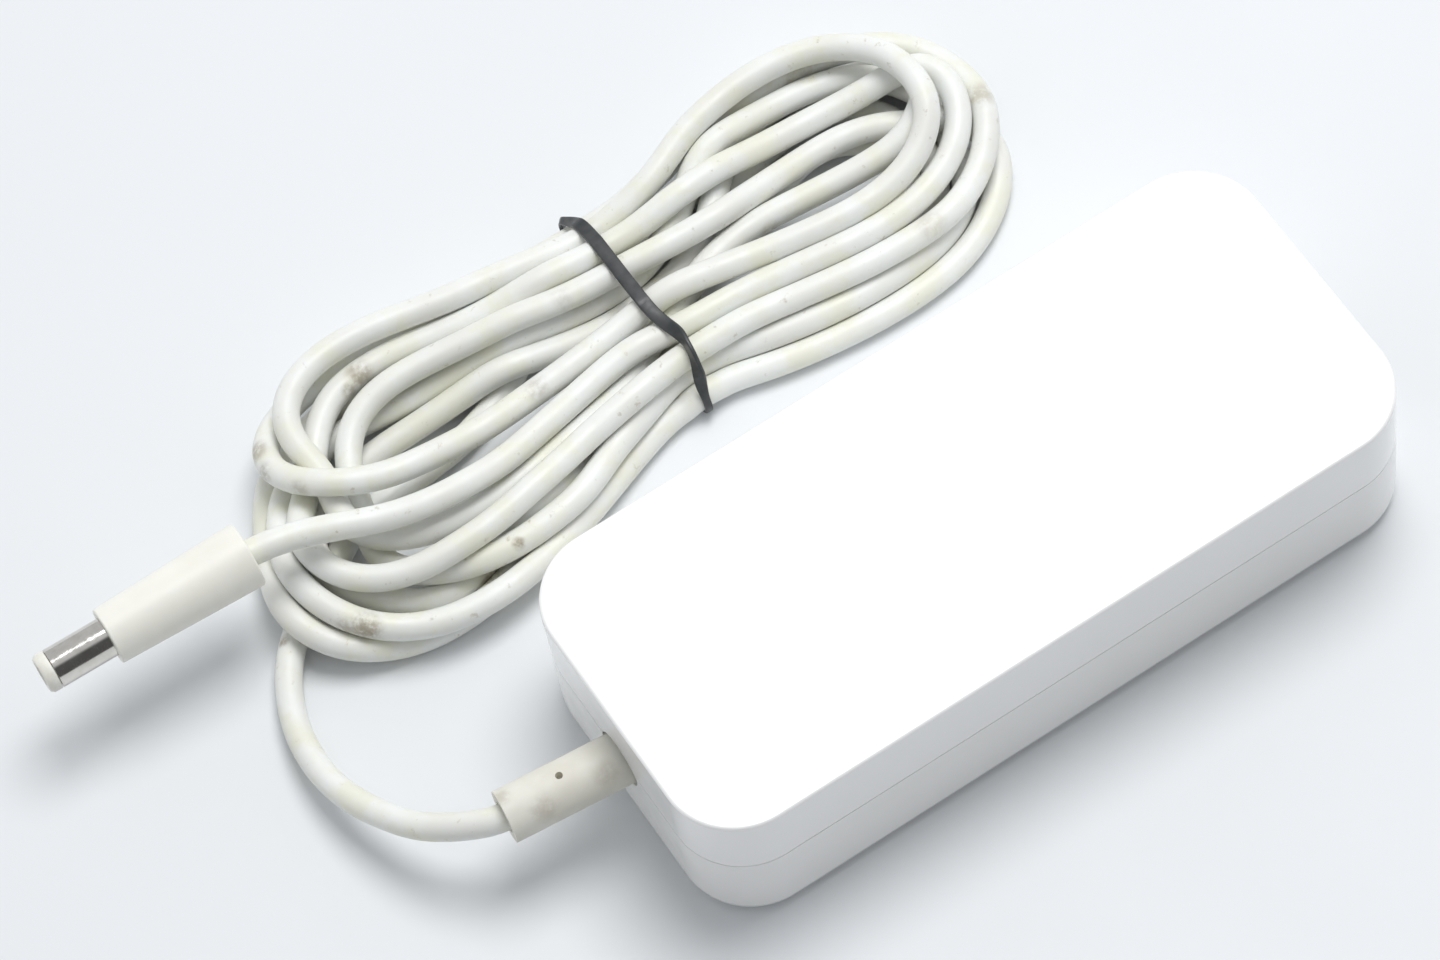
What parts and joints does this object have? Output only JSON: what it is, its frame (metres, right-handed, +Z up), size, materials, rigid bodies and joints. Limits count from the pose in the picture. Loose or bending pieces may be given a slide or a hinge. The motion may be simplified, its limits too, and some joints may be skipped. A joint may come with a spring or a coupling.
{
  "type": "laptop power adapter",
  "caption": "Mains-to-low-voltage adapter brick with a two-pin inlet, a captive output lead folded and banded into a hank, and a barrel plug.",
  "frame": {"origin": "middle of the casing's underside", "axes": "+X along the casing towards the mains inlet, +Y towards the folded lead, +Z up"},
  "size_m": [0.1631, 0.1033, 0.026],
  "materials": {
    "cover_gloss": "gloss",
    "cover_satin": "satin gloss",
    "lead_sheath": "satin, grubby",
    "relief_sleeve": "matte",
    "grip_plastic": "satin",
    "nickel": "polished",
    "nose_insulator": "satin",
    "band_rubber": "matte",
    "black_plastic": "matte",
    "board_laminate": "matte",
    "heatsink_aluminium": "mill",
    "ferrite": "matte",
    "winding_tape": "satin",
    "winding_wire": "lacquered",
    "capacitor_sleeve": "satin",
    "capacitor_brown": "satin",
    "disc_ceramic": "satin",
    "wire_red": "satin",
    "steel_screw": "zinc"
  },
  "bodies": {
    "root": {"bottom_cover": "cover_satin", "top_cover": "cover_gloss", "ac_inlet_housing": "black_plastic", "inlet_pin_line": "nickel", "inlet_pin_neutral": "nickel", "ac_wire_line": "black_plastic", "ac_wire_neutral": "black_plastic", "main_board": "board_laminate", "insulating_sheet": "nose_insulator", "fuse": "black_plastic", "inrush_thermistor": "capacitor_sleeve", "mains_filter_capacitor": "winding_tape", "choke_core": "ferrite", "choke_winding_line": "winding_wire", "choke_winding_neutral": "winding_wire", "choke_base": "black_plastic", "bridge_rectifier": "black_plastic", "line_capacitor": "disc_ceramic", "bulk_capacitor": "capacitor_sleeve", "transformer_core_near": "ferrite", "transformer_core_far": "ferrite", "transformer_bobbin": "black_plastic", "transformer_winding": "winding_tape", "primary_heatsink": "heatsink_aluminium", "switching_transistor": "black_plastic", "transistor_screw": "steel_screw", "secondary_heatsink": "heatsink_aluminium", "output_rectifier": "black_plastic", "rectifier_screw": "steel_screw", "output_capacitor_1": "capacitor_brown", "output_capacitor_2": "capacitor_brown", "output_inductor": "ferrite", "optocoupler": "black_plastic", "controller_chip": "black_plastic", "strain_relief": "relief_sleeve", "dc_wire_positive": "wire_red", "dc_wire_negative": "black_plastic", "cord_lead_in": "lead_sheath", "cord_hank": "lead_sheath", "cord_lead_out": "lead_sheath", "rubber_band": "band_rubber", "plug_grip": "grip_plastic", "plug_barrel": "nickel", "plug_tip_insulator": "nose_insulator", "plug_centre_contact": "nickel"}
  },
  "joints": []
}
